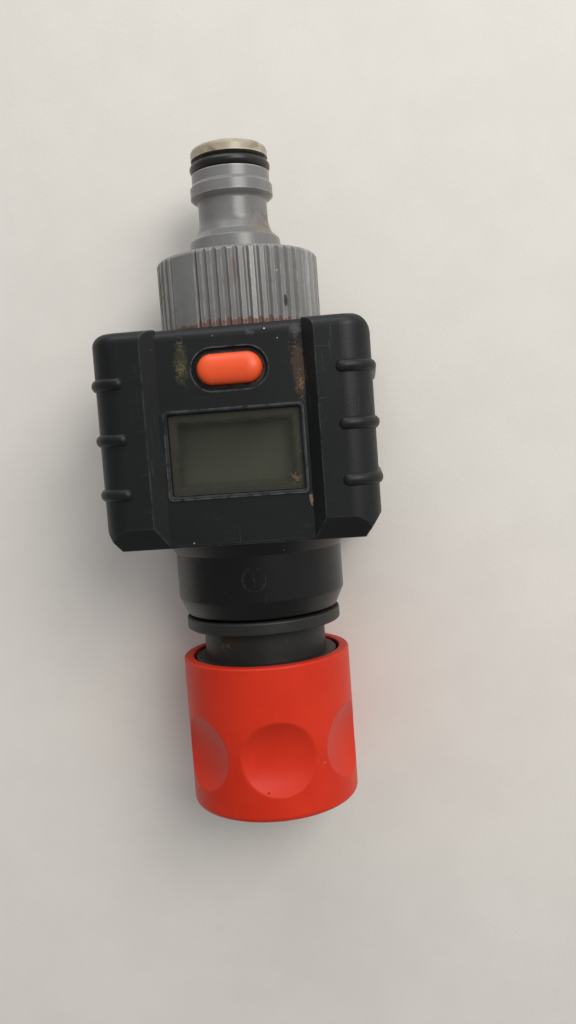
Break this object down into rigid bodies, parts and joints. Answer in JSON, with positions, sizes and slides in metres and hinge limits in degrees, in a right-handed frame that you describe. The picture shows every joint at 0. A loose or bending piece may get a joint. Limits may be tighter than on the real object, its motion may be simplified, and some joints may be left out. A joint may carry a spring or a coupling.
{
  "type": "hose water meter",
  "caption": "Inline garden hose water meter: quick-connect socket with sliding release sleeve, housing with display and button, screw-on outlet connector with hose nipple.",
  "frame": {"origin": "centre of the inlet socket's mouth, where its guide bore starts, on the flow axis", "axes": "+Y along the flow axis from the inlet socket to the outlet nipple, +Z out of the display, +X to the right as the display is read with the nipple up"},
  "size_m": [0.0558, 0.1396, 0.0475],
  "materials": {
    "sleeve_red": "satin",
    "charcoal_plastic": "satin",
    "black_plastic": "semi-gloss",
    "housing_plastic": "satin, fine texture",
    "grey_plastic": "satin",
    "natural_plastic": "satin",
    "orange_plastic": "satin",
    "black_rubber": "matt",
    "lens_plastic": "clear, smoked",
    "lcd_glass": "gloss",
    "stainless": "bright",
    "board_green": "solder mask",
    "chip_black": "matt",
    "magnet": "nickel plated"
  },
  "bodies": {
    "meter": {"coupling_body": "charcoal_plastic", "catch_cage": "charcoal_plastic", "sleeve_spring": "stainless", "coupling_seal": "black_rubber", "flow_tube": "black_plastic", "inlet_guide": "natural_plastic", "outlet_guide": "natural_plastic", "inlet_bush": "natural_plastic", "outlet_bush": "natural_plastic", "housing_front": "housing_plastic", "housing_back": "housing_plastic", "housing_seal": "black_rubber", "housing_screws": "stainless", "display_lens": "lens_plastic", "lens_gasket": "black_rubber", "lcd_panel": "lcd_glass", "lcd_connectors": "black_rubber", "circuit_board": "board_green", "controller_chip": "chip_black", "hall_sensor": "chip_black", "button_membrane": "black_rubber", "button_switch": "chip_black", "battery": "stainless", "battery_clip": "stainless", "battery_cover": "housing_plastic", "battery_cover_seal": "black_rubber", "battery_cover_screws": "stainless"},
    "release_sleeve": {"sleeve": "sleeve_red"},
    "catch_a": {"catch_1": "natural_plastic"},
    "catch_b": {"catch_2": "natural_plastic"},
    "catch_c": {"catch_3": "natural_plastic"},
    "button": {"button": "orange_plastic"},
    "turbine": {"turbine_rotor": "natural_plastic", "turbine_shaft": "stainless", "rotor_magnets": "magnet"},
    "washer": {"tap_washer": "black_rubber"},
    "tap_connector": {"tap_connector": "grey_plastic", "nipple_oring": "black_rubber"}
  },
  "joints": [
    {"name": "sleeve_slide", "type": "slide", "parent": "meter", "child": "release_sleeve", "axis": [0, 1, 0], "range_m": [0, 0.0048], "stiffness_N_per_m": 900, "springref_m": -0.004, "deforming": ["sleeve_spring"]},
    {"name": "catch_a_slide", "type": "slide", "parent": "meter", "child": "catch_a", "axis": [0, 0, 1], "range_m": [0, 0.00115]},
    {"name": "catch_b_slide", "type": "slide", "parent": "meter", "child": "catch_b", "axis": [0.866, 0, -0.5], "range_m": [0, 0.00115]},
    {"name": "catch_c_slide", "type": "slide", "parent": "meter", "child": "catch_c", "axis": [-0.866, 0, -0.5], "range_m": [0, 0.00115]},
    {"name": "button_press", "type": "slide", "parent": "meter", "child": "button", "axis": [0, 0, -1], "range_m": [0, 0.001], "stiffness_N_per_m": 1500, "springref_m": -0.0005, "deforming": ["button_membrane"]},
    {"name": "turbine_spin", "type": "hinge", "parent": "meter", "child": "turbine", "pos_m": [0, 0.071, 0], "axis": [0, 1, 0], "continuous": true},
    {"name": "connector_travel", "type": "slide", "parent": "meter", "child": "washer", "axis": [0, 1, 0], "range_m": [0, 0.00907]},
    {"name": "connector_turn", "type": "hinge", "parent": "washer", "child": "tap_connector", "pos_m": [0, 0.11, 0], "axis": [0, 1, 0], "range_deg": [0, 1800]}
  ],
  "couplings": [
    {"joint": "catch_a_slide", "follows": "sleeve_slide", "ratio": 0.24},
    {"joint": "catch_b_slide", "follows": "sleeve_slide", "ratio": 0.24},
    {"joint": "catch_c_slide", "follows": "sleeve_slide", "ratio": 0.24},
    {"joint": "connector_travel", "follows": "connector_turn", "m_per_rad": 0.00028871}
  ]
}
